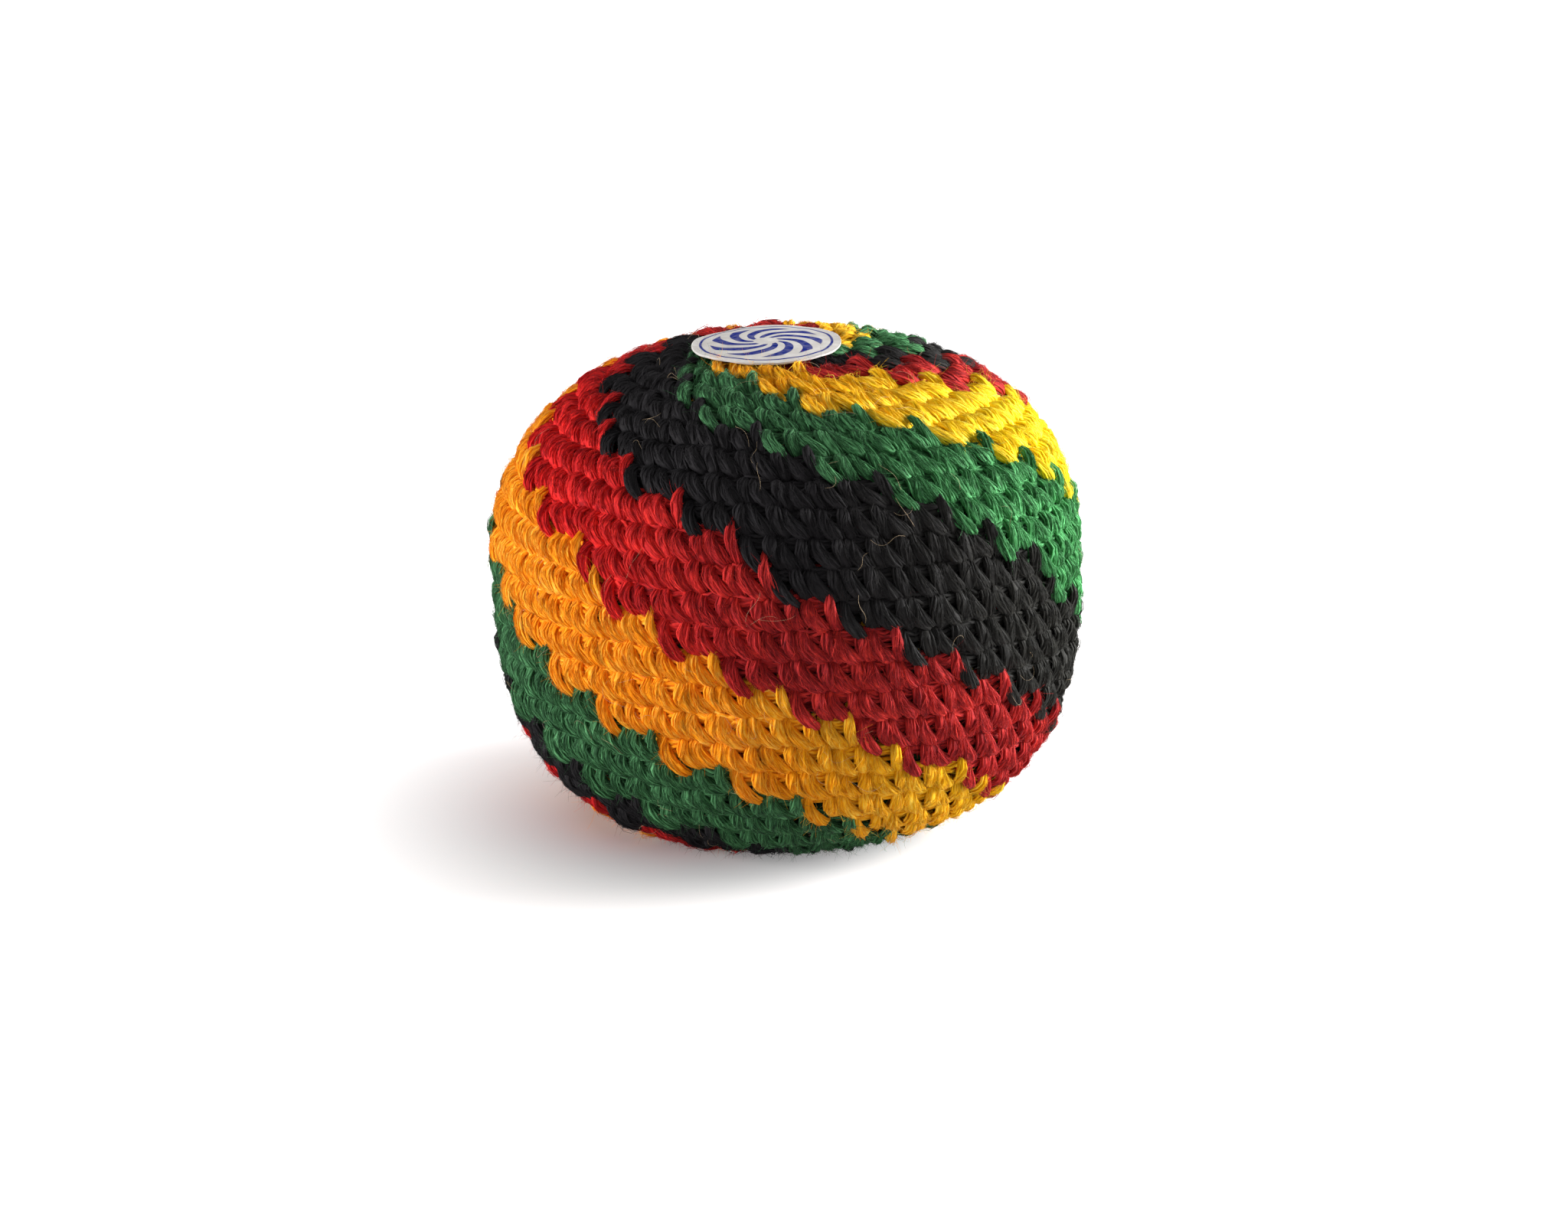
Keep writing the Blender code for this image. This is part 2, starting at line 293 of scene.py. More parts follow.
def meridian():
    """Elevations from pole to pole, with their distances up the ball and their radii."""
    elevations = np.linspace(-UPRIGHT, UPRIGHT, 1441)
    rays = np.stack((np.cos(elevations), 0 * elevations, np.sin(elevations)), -1)
    reaches = reach_along(rays)
    radii = reaches * np.cos(elevations)
    steps = np.hypot(np.diff(radii), np.diff(reaches * np.sin(elevations)))
    return elevations, np.concatenate(([0.0], np.cumsum(steps))), radii


ELEVATIONS, DISTANCES, RADII = meridian()
ROUNDS_IN_ALL = float(DISTANCES[-1]) / ROUND_PITCH


def fabric(angles, distances, heights):
    """Points over the fabric, by heights over the ball's surface, with the surface's normals."""
    elevations = np.interp(distances, DISTANCES, ELEVATIONS)
    level = np.cos(elevations)
    rays = np.stack((level * np.sin(angles), -level * np.cos(angles), np.sin(elevations)), -1)
    rays = rays @ CROCHET_TURN.T @ LEAN
    places = rays * reach_along(rays)[..., None] - np.array((0, 0, HEART_DROP))
    normals = outward(places)
    points = (places + normals * np.asarray(heights)[..., None]) @ LEAN.T + WIDEST_CENTRE
    return points, normals @ LEAN.T


def colour_shifts():
    """How far the colours have moved round, at each distance up the ball, from its middle."""
    narrowest = min(width for _, _, width in STRIPES) / STITCHES_ROUND
    most = narrowest * FULL_TURN - FULL_TURN / COLUMNS
    shift = SHIFT_STITCHES * STITCH_WIDTH / np.maximum(RADII, STITCH_WIDTH)
    rates = np.minimum(shift, most) / ROUND_PITCH
    steps = (rates[1:] + rates[:-1]) / 2 * np.diff(DISTANCES)
    shifts = np.concatenate(([0.0], np.cumsum(steps)))
    return shifts - np.interp(0.0, ELEVATIONS, shifts)


SHIFTS = colour_shifts()


def stripe_at(angles, distances):
    """Which stripe each place belongs to."""
    places = angles + np.interp(distances, DISTANCES, SHIFTS) - FIRST_EDGE_ANGLE
    along = (places / FULL_TURN) % 1 * STITCHES_ROUND
    edges = np.cumsum([width for _, _, width in STRIPES])
    return np.minimum(np.searchsorted(edges, along, side="right"), len(STRIPES) - 1)


class Stitches:
    """Every stitch of the spiral: its turn, angle, width, stripe, and its own small errors."""

    def __init__(self, random):
        turns = []
        turn = FIRST_TURN
        while turn < ROUNDS_IN_ALL - LAST_TURN_LEFT:
            turns.append(turn)
            distance = (turn + 0.5) * ROUND_PITCH
            fit = FULL_TURN * float(np.interp(distance, DISTANCES, RADII)) / STITCH_WIDTH
            turn += 1 / (max(round(fit / ROUND_STEP), 1) * ROUND_STEP + ROUND_DRIFT)
        self.turns = np.array(turns)
        self.count = len(turns)
        steps = np.append(np.diff(self.turns), self.turns[-1] - self.turns[-2])
        self.angles = START_ANGLE - (self.turns - STARTING_ROUNDS) * FULL_TURN
        middles = (self.turns + 0.5) * ROUND_PITCH
        self.radii = np.maximum(np.interp(middles, DISTANCES, RADII), LEAST_ROUND_SHARE * STITCH_WIDTH)
        self.widths = steps * FULL_TURN * self.radii
        self.stripes = stripe_at(self.angles, self.turns * ROUND_PITCH)
        self.colours = np.array([YARNS.index(colour) for _, colour, _ in STRIPES])[self.stripes]
        self.errors = random.normal(size=(self.count, 8)).clip(-2, 2)
        self.dye = random.random(self.count)
        rounds_left = ROUNDS_IN_ALL - self.turns
        self.pressed = LABEL_PRESS * np.interp(rounds_left, PRESSED_ROUNDS, (1, 0))
        self.gather = np.where(random.random(self.count) < OPEN_HOLLOWS_SHARE, OPEN_GATHER_SHARE, 1.0)
        changes = self.stripes[1:] != self.stripes[:-1]
        free = rounds_left > PRESSED_ROUNDS[1]
        self.drop = np.where(np.append(changes, False) & free, DROP_STRETCH_SHARE, 1.0)
        self.rise = np.where(np.append(False, changes) & free, RISE_STRETCH_SHARE, 1.0)
        self.fuzzy = rounds_left > PRESSED_ROUNDS[0]

    def place(self, across, up, heights):
        """Points at shares across and up each stitch, at heights over the ball. Axis 0 is the stitch."""
        extra = (1,) * (across.ndim - 1)

        def own(values):
            return values.reshape(-1, *extra)

        error = self.errors
        across = across * (1 + WIDTH_ERROR_SHARE * own(error[:, 0])) + SIDEWAYS_ERROR_SHARE * own(error[:, 1])
        up = up * (1 + PITCH_ERROR_SHARE * own(error[:, 2])) + UPWARD_ERROR_SHARE * own(error[:, 3])
        across = across + LEAN_ERROR_SHARE * own(error[:, 4]) * (up - 0.5)
        heights = heights + LIFT_ERROR * own(error[:, 5]) - own(self.pressed)
        turn = across * own(self.widths / self.radii)
        angles = own(self.angles) + turn
        distances = (own(self.turns) + up - turn / FULL_TURN) * ROUND_PITCH
        return fabric(angles, distances.clip(0, DISTANCES[-1]), heights)


def spline_weights(controls, samples):
    """Weights of a Catmull-Rom curve through its control points, one row for each sample."""
    weights = np.zeros((samples, controls))
    for row, place in enumerate(np.linspace(0, controls - 1, samples)):
        start = min(int(place), controls - 2)
        t = place - start
        basis = (
            (-t + 2 * t * t - t ** 3) / 2,
            (2 - 5 * t * t + 3 * t ** 3) / 2,
            (t + 4 * t * t - 3 * t ** 3) / 2,
            (-t * t + t ** 3) / 2,
        )
        for step, weight in enumerate(basis):
            index = start - 1 + step
            if index < 0:
                weights[row, 0] += 2 * weight
                weights[row, 1] -= weight
            elif index >= controls:
                weights[row, -1] += 2 * weight
                weights[row, -2] -= weight
            else:
                weights[row, index] += weight
    return weights


def wander(random, shape, samples, amount):
    """Smooth random wandering along a strand, as shape x samples."""
    knots = random.normal(size=(*shape, 4)).clip(-2, 2) * amount
    return knots @ spline_weights(4, samples).T


def stretched(up, lift, fixed, stretch):
    """A leg drawn out along the rounds from a fixed share up, and lifted towards its far end."""
    extra = stretch[:, None, None] - 1
    far = np.linspace(0, 1, lift.shape[-1])
    return up + (up - fixed) * extra, lift + EDGE_LIFT * extra * far


def narrowing(stretch, samples):
    """How much narrower a drawn-out leg grows towards its far end."""
    return 1 - EDGE_NARROWING_SHARE * (stretch[:, None, None] - 1) * np.linspace(0, 1, samples)


def leg_strands(stitches, random, leg, stretch, dome, strands, samples):
    """The twisted strands of one leg of every stitch, stitch by strand by sample."""
    outer, inner, heights, fixed = leg
    weights = spline_weights(len(outer), samples)
    outer = weights @ np.array(outer)
    inner = weights @ np.array(inner)
    middle = weights @ np.array(heights) * MM
    shape = (stitches.count, strands)
    start = (np.arange(strands) + 0.5) / strands * (math.pi + LEG_TWIST) - LEG_TWIST
    round_leg = start[:, None] + LEG_TWIST * np.linspace(0, 1, samples)
    round_leg = round_leg + wander(random, shape, samples, LEG_WANDER)
    lay = (1 - np.cos(round_leg) * narrowing(stretch, samples)) / 2
    across = inner[:, 0] * (1 - lay) + outer[:, 0] * lay
    up = inner[:, 1] * (1 - lay) + outer[:, 1] * lay
    lift = middle + dome * (np.sin(round_leg) - 1) + wander(random, shape, samples, LEG_LIFT_WANDER)
    up, lift = stretched(up, lift, fixed, stretch)
    centres, normals = stitches.place(across, up, lift)
    ends = np.sin(np.linspace(0.12, math.pi - 0.12, samples)) ** 0.35
    radii = STRAND_RADIUS * ends * (1 + 0.12 * random.normal(size=(*shape, 1)).clip(-2, 2))
    radii = np.broadcast_to(radii, centres.shape[:-1])
    return centres, normals, radii, radii, STRAND_SIDES


def loop_strands(stitches, random, leg):
    """The strands of the back loop that closes the hollow of every stitch, some of them drawn aside."""
    outer, inner, heights, _ = leg
    weights = spline_weights(len(outer), LOOP_SAMPLES)
    outer = weights @ np.array(outer)
    inner = weights @ np.array(inner)
    shape = (stitches.count, LOOP_STRANDS)
    lay = (np.arange(LOOP_STRANDS) + 0.5) / LOOP_STRANDS
    lay = lay[None, :, None] + wander(random, shape, LOOP_SAMPLES, LOOP_WANDER / LOOP_STRANDS)
    lay = 1 - (1 - lay.clip(0, 1)) * stitches.gather[:, None, None]
    across = inner[:, 0] * (1 - lay) + outer[:, 0] * lay
    up = inner[:, 1] * (1 - lay) + outer[:, 1] * lay
    arch = np.sqrt(1 - 0.94 * (2 * lay - 1) ** 2) - 1
    lift = weights @ np.array(heights) * MM + LOOP_DOME * arch
    lift = lift + wander(random, shape, LOOP_SAMPLES, LOOP_LIFT_WANDER)
    centres, normals = stitches.place(across, up, lift)
    radii = np.full(centres.shape[:-1], LOOP_FULLNESS * STRAND_RADIUS)
    return centres, normals, radii, radii, STRAND_SIDES + 1


class Cloth:
    """Gathers closed tubes and makes one mesh of them, with the coordinates that its yarn needs."""

    def __init__(self):
        self.points = []
        self.grain = []
        self.dye = []
        self.loops = []
        self.sizes = []
        self.materials = []
        self.count = 0

    def add_tubes(self, centres, normals, wide, thick, sides, dye, material=0):
        """Tubes along centres [tube, ring, 3], with half widths and half thicknesses [tube, ring]."""
        tubes, rings = centres.shape[:2]
        tangents = np.gradient(centres, axis=1)
        tangents /= np.maximum(np.linalg.norm(tangents, axis=-1, keepdims=True), 1e-12)
        across = np.cross(tangents, normals)
        across /= np.maximum(np.linalg.norm(across, axis=-1, keepdims=True), 1e-12)
        out = np.cross(across, tangents)
        turns = np.arange(sides) * FULL_TURN / sides
        cosines, sines = np.cos(turns), np.sin(turns)
        points = (
            centres[:, :, None]
            + across[:, :, None] * (wide[..., None] * cosines)[..., None]
            + out[:, :, None] * (thick[..., None] * sines)[..., None]
        )
        low = points[..., 2] < SQUASHED_BELOW
        points[low, 2] = SQUASHED_BELOW * np.exp(points[low, 2] / SQUASHED_BELOW - 1)
        steps = np.linalg.norm(np.diff(centres, axis=1), axis=-1)
        along = np.concatenate((np.zeros((tubes, 1)), np.cumsum(steps, axis=1)), axis=1)
        grain = np.empty(points.shape)
        grain[..., 0] = (along / MM)[..., None]
        grain[..., 1] = cosines + np.arange(tubes)[:, None, None] * 3.7 % 97
        grain[..., 2] = sines
        self.points.append(points.reshape(-1, 3))
        self.grain.append(grain.reshape(-1, 3))
        self.dye.append(np.repeat(dye, rings * sides))

        index = self.count + np.arange(tubes * rings * sides).reshape(tubes, rings, sides)
        ahead = np.roll(index, -1, axis=2)
        walls = np.stack((index[:, :-1], index[:, 1:], ahead[:, 1:], ahead[:, :-1]), -1)
        self.loops += [walls.reshape(-1), index[:, 0].reshape(-1), index[:, -1, ::-1].reshape(-1)]
        walls_each = (rings - 1) * sides
        self.sizes += [np.full(tubes * walls_each, 4), np.full(2 * tubes, sides)]
        material = np.broadcast_to(material, tubes)
        self.materials += [np.repeat(material, walls_each), material, material]
        self.count += tubes * rings * sides

    def make(self, name, materials):
        mesh = bpy.data.meshes.new(name)
        points = np.concatenate(self.points)
        loops = np.concatenate(self.loops)
        sizes = np.concatenate(self.sizes)
        mesh.vertices.add(len(points))
        mesh.vertices.foreach_set("co", points.astype(np.float32).ravel())
        mesh.loops.add(len(loops))
        mesh.loops.foreach_set("vertex_index", loops.astype(np.int32))
        mesh.polygons.add(len(sizes))
        starts = np.concatenate(([0], np.cumsum(sizes)[:-1]))
        mesh.polygons.foreach_set("loop_start", starts.astype(np.int32))
        mesh.polygons.foreach_set("material_index", np.concatenate(self.materials).astype(np.int32))
        mesh.update(calc_edges=True)
        mesh.shade_smooth()
        grain = mesh.attributes.new("grain", "FLOAT_VECTOR", "POINT")
        grain.data.foreach_set("vector", np.concatenate(self.grain).astype(np.float32).ravel())
        dye = mesh.attributes.new("dye", "FLOAT", "POINT")
        dye.data.foreach_set("value", np.concatenate(self.dye).astype(np.float32))
        for material in materials:
            mesh.materials.append(material)
        piece = bpy.data.objects.new(name, mesh)
        bpy.context.scene.collection.objects.link(piece)
        return piece


def leg_core(stitches, leg, stretch, samples):
    """The flat body of yarn under the strands of one leg, so that no light falls between them."""
    outer, inner, heights, fixed = leg
    weights = spline_weights(len(outer), samples)
    outer = weights @ np.array(outer)
    inner = weights @ np.array(inner)
    shape = (stitches.count, 1, samples)
    across = np.broadcast_to((outer[:, 0] + inner[:, 0]) / 2, shape)
    up = np.broadcast_to((outer[:, 1] + inner[:, 1]) / 2, shape)
    lift = np.broadcast_to(weights @ np.array(heights) * MM - CORE_DROP, shape)
    up, lift = stretched(up, lift, fixed, stretch)
    centres, normals = stitches.place(across, up, lift)
    gap = (outer - inner) * np.array((STITCH_WIDTH, ROUND_PITCH))
    wide = np.linalg.norm(gap, axis=1) * CORE_SHARE * narrowing(stretch, samples)
    return centres, normals, wide, np.full(shape, CORE_THICKNESS), 6


def inner_bars(stitches, random, shares, depth, radius):
    """Level lengths of yarn behind the legs of every stitch, each a little longer than the stitch."""
    shape = (stitches.count, len(shares))
    across = np.linspace(-BAR_REACH_SHARE, BAR_REACH_SHARE, BAR_SAMPLES)
    across = np.broadcast_to(across, (*shape, BAR_SAMPLES))
    up = np.array(shares)[None, :, None] + wander(random, shape, BAR_SAMPLES, BAR_WANDER_SHARE)
    lift = wander(random, shape, BAR_SAMPLES, BAR_LIFT_WANDER) - depth
    centres, normals = stitches.place(across, up, lift)
    wide = np.full(centres.shape[:-1], radius)
    return centres, normals, wide, wide * 0.8, 6


def yarn_parts(stitches, random):
    """The tubes of every stitch, as centres, normals, half widths, half thicknesses and sides."""
    left = LEFT_LEG_OUTER_SHARES, LEFT_LEG_INNER_SHARES, LEFT_LEG_HEIGHTS, 1.0
    right = RIGHT_LEG_OUTER_SHARES, RIGHT_LEG_INNER_SHARES, RIGHT_LEG_HEIGHTS, 0.0
    loop = LOOP_OUTER_SHARES, LOOP_INNER_SHARES, LOOP_HEIGHTS, 1.0
    legs = [
        leg_strands(stitches, random, left, stitches.drop, LEFT_DOME, LEFT_STRANDS, LEFT_SAMPLES),
        leg_strands(stitches, random, right, stitches.rise, RIGHT_DOME, RIGHT_STRANDS, RIGHT_SAMPLES),
    ]
    inside = [
        loop_strands(stitches, random, loop),
        leg_core(stitches, left, stitches.drop, LEFT_SAMPLES),
        leg_core(stitches, right, stitches.rise, RIGHT_SAMPLES),
        leg_core(stitches, loop, np.ones(stitches.count), LOOP_SAMPLES),
        inner_bars(stitches, random, BACK_BAR_SHARES, BACK_BAR_DEPTH, BACK_BAR_RADIUS),
    ]
    return {"legs": legs, "inside": inside}


def outer_strands(random, along, strands):
    """Random strands of those that lie on the outside of a twisted leg, at shares along it."""
    round_leg = random.uniform(0.1, 0.9, along.shape) * math.pi
    place = (round_leg + LEG_TWIST * (1 - along)) / (math.pi + LEG_TWIST)
    return (place * strands).astype(int).clip(0, strands - 2)


def laid_fibres(stitches, parts, random):
    """Fine fibres that lie along the strands of each leg and wander from one strand to the next."""
    laid = []
    for (centres, normals, wide, _, _), each in zip(parts["legs"], LAID_EACH):
        count, strands, rings = centres.shape[:3]
        who = np.arange(count)[:, None]
        start = random.integers(0, rings - LAID_SAMPLES + 1, (count, each))
        strand = outer_strands(random, (start + LAID_SAMPLES / 2) / rings, strands)
        share = random.uniform(-0.5, 1.5, (count, each, 1))
        share = share + wander(random, (count, each), LAID_SAMPLES, 0.6)
        rings_used = start[..., None] + np.arange(LAID_SAMPLES)
        index = who[..., None], strand[..., None], rings_used
        beside = who[..., None], strand[..., None] + 1, rings_used
        share = share[..., None]
        spots = centres[index] * (1 - share) + centres[beside] * share
        rise = wide[index] * random.uniform(0.75, 1.6, (count, each, 1))
        rise = rise + wander(random, (count, each), LAID_SAMPLES, 0.04 * MM)
        spots = spots + normals[index] * rise[..., None]
        taper = np.sin(np.linspace(0.3, 2.84, LAID_SAMPLES))
        thin = random.uniform(*LAID_RADII, (count, each, 1)) * taper
        laid.append((spots, normals[index], thin, thin, 3))
    return laid


def fuzz_tubes(roots, normals, tangents, lengths, lift, random):
    """Short curved fibres that grow from roots, as centres and reference normals."""
    count = len(roots)
    sideways = np.cross(normals, tangents)
    spread = random.normal(size=(count, 3)) * np.array((1.0, 0.55, 0.35))
    heading = tangents * spread[:, :1] + sideways * spread[:, 1:2]
    heading += normals * (lift * (0.25 + np.abs(spread[:, 2:])))
    heading /= np.linalg.norm(heading, axis=1, keepdims=True)
    bend = np.cross(heading, random.normal(size=(count, 3)))
    bend += np.cross(bend, heading) * 0.4
    share = np.linspace(0, 1, FUZZ_SAMPLES)[None, :, None]
    reach = lengths[:, None, None]
    centres = roots[:, None] + heading[:, None] * share * reach
    centres = centres + bend[:, None] * 0.28 * reach * share ** 2
    return centres, np.repeat(np.cross(heading, bend)[:, None], FUZZ_SAMPLES, axis=1)


def make_fuzz(stitches, parts, materials):
    """Fine fibres that stand off the yarn, one piece for each stripe."""
    random = np.random.default_rng(23)
    pools = list(zip(parts["legs"], (0.7, 0.3)))
    for number, (name, colour, _) in enumerate(STRIPES):
        chosen = np.flatnonzero((stitches.stripes == number) & stitches.fuzzy)
        cloth = Cloth()
        for (centres, normals, wide, _, _), part in pools:
            count = int(len(chosen) * FUZZ_EACH * part)
            who = chosen[random.integers(0, len(chosen), count)]
            ring = random.integers(1, centres.shape[2] - 2, count)
            strand = outer_strands(random, ring / (centres.shape[2] - 1), centres.shape[1])
            share = random.random((count, 1))
            near, far = centres[who, strand, ring], centres[who, strand, ring + 1]
            roots = near * (1 - share) + far * share
            tangents = (far - near) / np.linalg.norm(far - near, axis=1, keepdims=True)
            lengths = (0.4 + 1.5 * random.random(count) ** 2) * MM
            fibres, references = fuzz_tubes(
                roots, normals[who, strand, ring], tangents, lengths, 0.5, random
            )
            taper = np.linspace(1.0, 0.3, fibres.shape[1]) * FUZZ_RADIUS
            radii = np.broadcast_to(taper, fibres.shape[:2])
            cloth.add_tubes(fibres, references, radii, radii, 3, random.uniform(*FIBRE_DYES, count))
        piece = cloth.make(name + "_fuzz", [materials[colour]])
        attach(piece, "root")


def make_strays(material):
    """Long loose hairs that lie curled over the ball."""
    random = np.random.default_rng(31)
    samples = 26
    shape = (STRAY_HAIRS,)
    angles = random.random(STRAY_HAIRS) * FULL_TURN
    lows = np.sin(random.uniform(-0.9, 1.2, STRAY_HAIRS))
    distances = np.interp(np.arcsin(lows.clip(-1, 1)), ELEVATIONS, DISTANCES)
    radii = np.interp(distances, DISTANCES, RADII)
    lengths = random.uniform(1.0, 4.5, STRAY_HAIRS) * MM
    turning = np.cumsum(wander(random, shape, samples, 0.12), axis=1)
    headings = random.random((STRAY_HAIRS, 1)) * FULL_TURN + turning
    step = (lengths / (samples - 1))[:, None]
    right = np.cumsum(np.cos(headings) * step, axis=1)
    up = np.cumsum(np.sin(headings) * step, axis=1)
    arch = np.sin(np.linspace(0, math.pi, samples)) ** 0.7
    lift = arch * random.uniform(0.25, 0.8, (STRAY_HAIRS, 1)) * MM + 0.1 * MM
    places = (distances[:, None] + up).clip(2 * ROUND_PITCH, DISTANCES[-1] - 2 * ROUND_PITCH)
    centres, normals = fabric(angles[:, None] + right / radii[:, None], places, lift)
    cloth = Cloth()
    thin = np.full(centres.shape[:2], STRAY_RADIUS)
    cloth.add_tubes(centres, normals, thin, thin, 3, np.zeros(STRAY_HAIRS))
    piece = cloth.make("stray_hairs", [material])
    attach(piece, "root")


def make_yarns(stitches, parts, materials):
    """The legs, the inside and the laid fibres of each stripe, and of the rounds at each pole."""
    random = np.random.default_rng(19)
    last_turn = ROUNDS_IN_ALL - CLOSING_ROUNDS
    places = np.where(stitches.turns < STARTING_ROUNDS, -1, stitches.stripes)
    places = np.where(stitches.turns >= last_turn, len(STRIPES), places)
    colours = stitches.colours
    names = {number: (name, colour + "_yarn") for number, (name, colour, _) in enumerate(STRIPES)}
    names[-1] = ("starting_rounds", "starting_yarn")
    names[len(STRIPES)] = ("closing_rounds", "closing_yarn")
    for number, (node, slot) in names.items():
        chosen = places == number
        mixed = number in (-1, len(STRIPES))
        used = [materials[colour] for colour in YARNS] if mixed else [materials[STRIPES[number][1]]]
        for kind, tubes in parts.items():
            cloth = Cloth()
            for centres, normals, wide, thick, sides in tubes:
                strands = centres.shape[1]
                shape = (-1, centres.shape[2])
                dyes = np.repeat(stitches.dye[chosen], strands)
                if kind == "fibres":
                    dyes = random.uniform(*FIBRE_DYES, len(dyes))
                cloth.add_tubes(
                    centres[chosen].reshape(*shape, 3),
                    normals[chosen].reshape(*shape, 3),
                    wide[chosen].reshape(shape),
                    thick[chosen].reshape(shape),
                    sides,
                    dyes,
                    np.repeat(colours[chosen], strands) if mixed else 0,
                )
            finish_piece(cloth.make(node + "_" + kind, used), node)


def make_carried(stitches, materials):
    """The three yarns that are not in use at each stitch, which run along inside the round."""
    random = np.random.default_rng(29)
    bars = inner_bars(stitches, random, CARRIED_SHARES, CARRIED_DEPTH, CARRIED_RADIUS)
    centres, normals, wide, thick, sides = bars
    each = len(CARRIED_SHARES)
    order = (stitches.colours[:, None] + 1 + np.arange(each)) % len(YARNS)
    shape = (-1, BAR_SAMPLES)
    cloth = Cloth()
    cloth.add_tubes(
        centres.reshape(*shape, 3),
        normals.reshape(*shape, 3),
        wide.reshape(shape),
        thick.reshape(shape),
        sides,
        np.repeat(stitches.dye, each),
        order.ravel(),
    )
    piece = cloth.make("carried_strands_yarn", [materials[colour] for colour in YARNS])
    finish_piece(piece, "carried_strands")


def finish_piece(piece, node):
    """Hangs a piece that stands in for a part on the root, hides that part, and prints its triangle count."""
    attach(piece, "root")
    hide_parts(node)
    piece.data.calc_loop_triangles()
    print(piece.name, len(piece.data.loop_triangles), "triangles")


def make_mesh(name, points, faces, material):
    mesh = bpy.data.meshes.new(name)
    mesh.from_pydata([tuple(point) for point in points], [], faces)
    mesh.shade_smooth()
    mesh.materials.append(material)
    piece = bpy.data.objects.new(name, mesh)
    bpy.context.scene.collection.objects.link(piece)
    return piece


def make_label(material):
    """The round paper label, which follows the crown and lifts a little at its edge."""
    segments, rings = 120, 26
    shares = np.sin(np.linspace(0, UPRIGHT, rings + 1))[1:]
    rim = 0.35 * LABEL_THICKNESS / (LABEL_DIAMETER / 2)
    profile = [(share, 1.0) for share in shares[:-1]]
    profile += [(1 - rim, 1.0), (1.0, 0.7), (1.0, 0.3), (1 - rim, 0.0)]
    profile += [(share, 0.0) for share in shares[-2::-1]]
    reach, side = np.array(profile).T
    turns = np.arange(segments) * FULL_TURN / segments
    across = reach[:, None] * np.cos(turns)
    back = reach[:, None] * np.sin(turns)
    disc = np.concatenate(([[0, 0]], np.stack((across, back), -1).reshape(-1, 2), [[0, 0]]))
    thick = np.concatenate(([1.0], np.repeat(side, segments), [0.0]))
    distance = np.linalg.norm(disc, axis=1)
    angle = np.arctan2(disc[:, 1], disc[:, 0])
    lift = LABEL_GAP + LABEL_THICKNESS * thick - LABEL_TILT * disc[:, 0]
    lift += 0.10 * MM * distance ** 6 * (1 + np.sin(2 * angle + 0.6) + 0.5 * np.sin(5 * angle))
    lift += 0.035 * MM * np.sin(11 * disc[:, 0] + 2) * np.sin(12 * disc[:, 1] + 1)
    flat = disc * LABEL_DIAMETER / 2 + np.array((LABEL_OFFSET, 0))
    level = np.linalg.norm(flat, axis=1) / BALL_RADIUS
    heights = CROWN_HEIGHT * (1 - level ** CROWN_SQUARENESS) ** (1 / CROWN_SQUARENESS) + lift
    points = np.column_stack((flat, heights)) @ LEAN.T + WIDEST_CENTRE

    rows = len(reach)
    last = 1 + rows * segments
    faces = []
    for step in range(segments):
        ahead = (step + 1) % segments
        faces.append((0, 1 + step, 1 + ahead))
        for row in range(rows - 1):
            near, far = 1 + row * segments, 1 + (row + 1) * segments
            faces.append((near + step, far + step, far + ahead, near + ahead))
        faces.append((last, last - segments + ahead, last - segments + step))
    piece = make_mesh("label_paper", points, faces, material)
    attribute = piece.data.attributes.new("disc", "FLOAT_VECTOR", "POINT")
    places = np.column_stack((disc, thick))
    attribute.data.foreach_set("vector", places.astype(np.float32).ravel())
    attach(piece, "root")
    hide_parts("label")


def make_pellets(material):
    """The loose pellets, packed closely inside the cover."""
    random = np.random.default_rng(41)
    low, high = (np.array(corner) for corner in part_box("pellet_fill"))
    reach = int(2 * BALL_RADIUS / PELLET_SPACING) + 1
    steps = np.mgrid[-reach:reach + 1, -reach:reach + 1, -reach:reach + 1].reshape(3, -1).T
    steps = steps[steps.sum(axis=1) % 2 == 0]
    errors = random.normal(size=steps.shape).clip(-2, 2) * 0.06 * MM
    centres = steps * PELLET_SPACING / math.sqrt(2) + errors
    centres += (low + high) / 2
    own = (centres - WIDEST_CENTRE) @ LEAN
    heights, power = half(own[:, 2])
    inset = FILL_DEPTH + PELLET_RADIUS
    level = np.hypot(own[:, 0], own[:, 1]) / (BALL_RADIUS - inset)
    inside = level ** power + (np.abs(own[:, 2]) / (heights - inset)) ** power < 1
    inside &= (centres[:, 2] > low[2] + PELLET_RADIUS) & (centres[:, 2] < high[2] - PELLET_RADIUS)
    centres = centres[inside]

    ball = bmesh.new()
    bmesh.ops.create_icosphere(ball, subdivisions=1, radius=1)
    unit = np.array([vertex.co for vertex in ball.verts])
    faces = np.array([[vertex.index for vertex in face.verts] for face in ball.faces])
    ball.free()
    frames = np.linalg.qr(random.normal(size=(len(centres), 3, 3)))[0]
    frames *= np.sign(np.linalg.det(frames))[:, None, None]
    radii = PELLET_RADIUS * random.uniform((0.93, 0.9, 0.72), (1.0, 0.98, 0.86), (len(centres), 3))
    points = centres[:, None] + (unit * radii[:, None]) @ frames
    faces = faces + np.arange(len(centres))[:, None, None] * len(unit)
    piece = make_mesh("pellets", points.reshape(-1, 3), faces.reshape(-1, 3).tolist(), material)
    finish_piece(piece, "pellet_fill")


def new_material(name):
    material = bpy.data.materials.new(name)
    material.use_nodes = True
    return material, material.node_tree, material.node_tree.nodes["Principled BSDF"]


